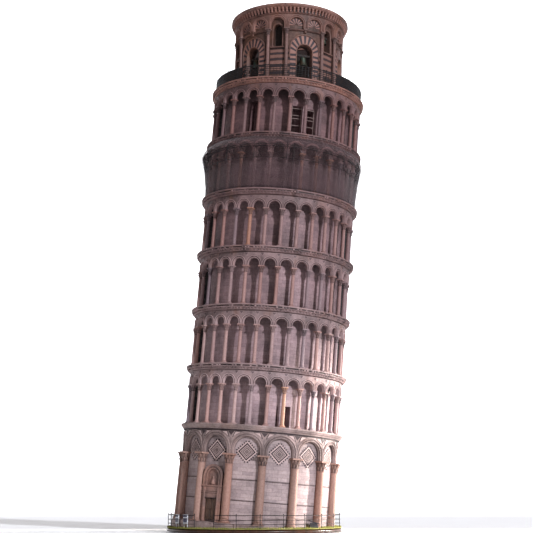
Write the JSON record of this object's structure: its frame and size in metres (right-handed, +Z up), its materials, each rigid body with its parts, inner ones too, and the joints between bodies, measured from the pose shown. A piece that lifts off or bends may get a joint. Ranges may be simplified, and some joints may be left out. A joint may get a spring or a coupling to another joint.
{
  "type": "miniature leaning bell tower",
  "caption": "Leaning round bell tower miniature: arcaded marble galleries, a netted storey, a railed terrace and a belfry with swinging bells, on a grassed base.",
  "frame": {"origin": "centre of the base plate's flat underside", "axes": "+Z up; -Y is the front, the side seen from the lawn with the door on its left; the tower leans towards +X"},
  "size_m": [0.1318, 0.1138, 0.3486],
  "materials": {
    "ground_marble": "dressed pale marble with grey bands, weathered",
    "gallery_marble": "dressed marble, column shafts of mixed tones, soot in the carving",
    "cornice_marble": "moulded marble with dark weather spots",
    "belfry_marble": "warm brownish marble with dark bands",
    "bronze": "cast bronze with a green-grey patina",
    "iron": "dark painted iron",
    "door_wood": "dark brown boards",
    "dark_wood": "dark stained wood, satin",
    "grass": "short flock grass",
    "board": "plain white panel",
    "netting": "grey-brown woven scaffold net"
  },
  "bodies": {
    "tower": {"base_plate": "dark_wood", "lawn_mat": "grass", "perimeter_fence": "iron", "info_board_left": "board", "info_board_right": "board", "lectern": "iron", "plinth": "ground_marble", "ground_wall": "ground_marble", "ground_arcade": "ground_marble", "portal_surround": "ground_marble", "gallery_wall_1": "gallery_marble", "colonnade_1": "gallery_marble", "gallery_wall_2": "gallery_marble", "colonnade_2": "gallery_marble", "gallery_wall_3": "gallery_marble", "colonnade_3": "gallery_marble", "gallery_wall_4": "gallery_marble", "colonnade_4": "gallery_marble", "gallery_wall_5": "gallery_marble", "colonnade_5": "gallery_marble", "gallery_wall_6": "gallery_marble", "colonnade_6": "gallery_marble", "cornice_1": "cornice_marble", "cornice_2": "cornice_marble", "cornice_3": "cornice_marble", "cornice_4": "cornice_marble", "cornice_5": "cornice_marble", "cornice_6": "cornice_marble", "terrace_slab": "cornice_marble", "scaffold_net": "netting", "scaffold_frame": "iron", "terrace_railing": "iron", "belfry_plinth": "belfry_marble", "belfry_wall": "belfry_marble", "belfry_arcade": "belfry_marble", "belfry_cornice": "belfry_marble"},
    "door_leaf_left": {"door_leaf_left": "door_wood"},
    "door_leaf_right": {"door_leaf_right": "door_wood"},
    "bell_1": {"bell_1": "bronze", "bell_1_headstock": "dark_wood"},
    "bell_1_clapper": {"bell_1_clapper": "iron"},
    "bell_2": {"bell_2": "bronze", "bell_2_headstock": "dark_wood"},
    "bell_2_clapper": {"bell_2_clapper": "iron"},
    "bell_3": {"bell_3": "bronze", "bell_3_headstock": "dark_wood"},
    "bell_3_clapper": {"bell_3_clapper": "iron"},
    "bell_4": {"bell_4": "bronze", "bell_4_headstock": "dark_wood"},
    "bell_4_clapper": {"bell_4_clapper": "iron"},
    "bell_5": {"bell_5": "bronze", "bell_5_headstock": "dark_wood"},
    "bell_5_clapper": {"bell_5_clapper": "iron"},
    "bell_6": {"bell_6": "bronze", "bell_6_headstock": "dark_wood"},
    "bell_6_clapper": {"bell_6_clapper": "iron"},
    "bell_7": {"bell_7": "bronze", "bell_7_headstock": "dark_wood"},
    "bell_7_clapper": {"bell_7_clapper": "iron"}
  },
  "joints": [
    {"name": "door_left_hinge", "type": "hinge", "parent": "tower", "child": "door_leaf_left", "pos_m": [-0.02941, -0.0395, 0.01509], "axis": [0.0785, 0, 0.9969], "range_deg": [0, 85]},
    {"name": "door_right_hinge", "type": "hinge", "parent": "tower", "child": "door_leaf_right", "pos_m": [-0.02326, -0.04354, 0.01461], "axis": [0.0785, 0, 0.9969], "range_deg": [-85, 0]},
    {"name": "bell_1_swing", "type": "hinge", "parent": "tower", "child": "bell_1", "pos_m": [0.03248, -0.03086, 0.31351], "axis": [0.9584, 0.284, -0.0284], "range_deg": [-40, 40]},
    {"name": "bell_1_clapper_swing", "type": "hinge", "parent": "bell_1", "child": "bell_1_clapper", "pos_m": [0.0324, -0.03084, 0.31099], "axis": [0.9584, 0.284, -0.0284], "range_deg": [-16, 16]},
    {"name": "bell_2_swing", "type": "hinge", "parent": "tower", "child": "bell_2", "pos_m": [0.05463, -0.00751, 0.31286], "axis": [0.2333, 0.9724, -0.0069], "range_deg": [-40, 40]},
    {"name": "bell_2_clapper_swing", "type": "hinge", "parent": "bell_2", "child": "bell_2_clapper", "pos_m": [0.05449, -0.0075, 0.31041], "axis": [0.2333, 0.9724, -0.0069], "range_deg": [-16, 16]},
    {"name": "bell_3_swing", "type": "hinge", "parent": "tower", "child": "bell_3", "pos_m": [0.04549, 0.02335, 0.31313], "axis": [-0.7251, 0.6884, 0.0215], "range_deg": [-40, 40]},
    {"name": "bell_3_clapper_swing", "type": "hinge", "parent": "bell_3", "child": "bell_3_clapper", "pos_m": [0.04539, 0.02331, 0.31064], "axis": [-0.7251, 0.6884, 0.0215], "range_deg": [-16, 16]},
    {"name": "bell_4_swing", "type": "hinge", "parent": "tower", "child": "bell_4", "pos_m": [0.01421, 0.03086, 0.31406], "axis": [-0.9584, -0.284, 0.0284], "range_deg": [-40, 40]},
    {"name": "bell_4_clapper_swing", "type": "hinge", "parent": "bell_4", "child": "bell_4_clapper", "pos_m": [0.01413, 0.03088, 0.31168], "axis": [-0.9584, -0.284, 0.0284], "range_deg": [-16, 16]},
    {"name": "bell_5_swing", "type": "hinge", "parent": "tower", "child": "bell_5", "pos_m": [-0.00794, 0.00751, 0.31472], "axis": [-0.2333, -0.9724, 0.0069], "range_deg": [-40, 40]},
    {"name": "bell_5_clapper_swing", "type": "hinge", "parent": "bell_5", "child": "bell_5_clapper", "pos_m": [-0.00807, 0.00753, 0.31241], "axis": [-0.2333, -0.9724, 0.0069], "range_deg": [-16, 16]},
    {"name": "bell_6_swing", "type": "hinge", "parent": "tower", "child": "bell_6", "pos_m": [0.0012, -0.02335, 0.31444], "axis": [0.7251, -0.6884, -0.0215], "range_deg": [-40, 40]},
    {"name": "bell_6_clapper_swing", "type": "hinge", "parent": "bell_6", "child": "bell_6_clapper", "pos_m": [0.0011, -0.02338, 0.31203], "axis": [0.7251, -0.6884, -0.0215], "range_deg": [-16, 16]},
    {"name": "bell_7_swing", "type": "hinge", "parent": "tower", "child": "bell_7", "pos_m": [0.04718, -0.02216, 0.32965], "axis": [0.6881, 0.7254, -0.0204], "range_deg": [-40, 40]},
    {"name": "bell_7_clapper_swing", "type": "hinge", "parent": "bell_7", "child": "bell_7_clapper", "pos_m": [0.04709, -0.02213, 0.32766], "axis": [0.6881, 0.7254, -0.0204], "range_deg": [-16, 16]}
  ]
}
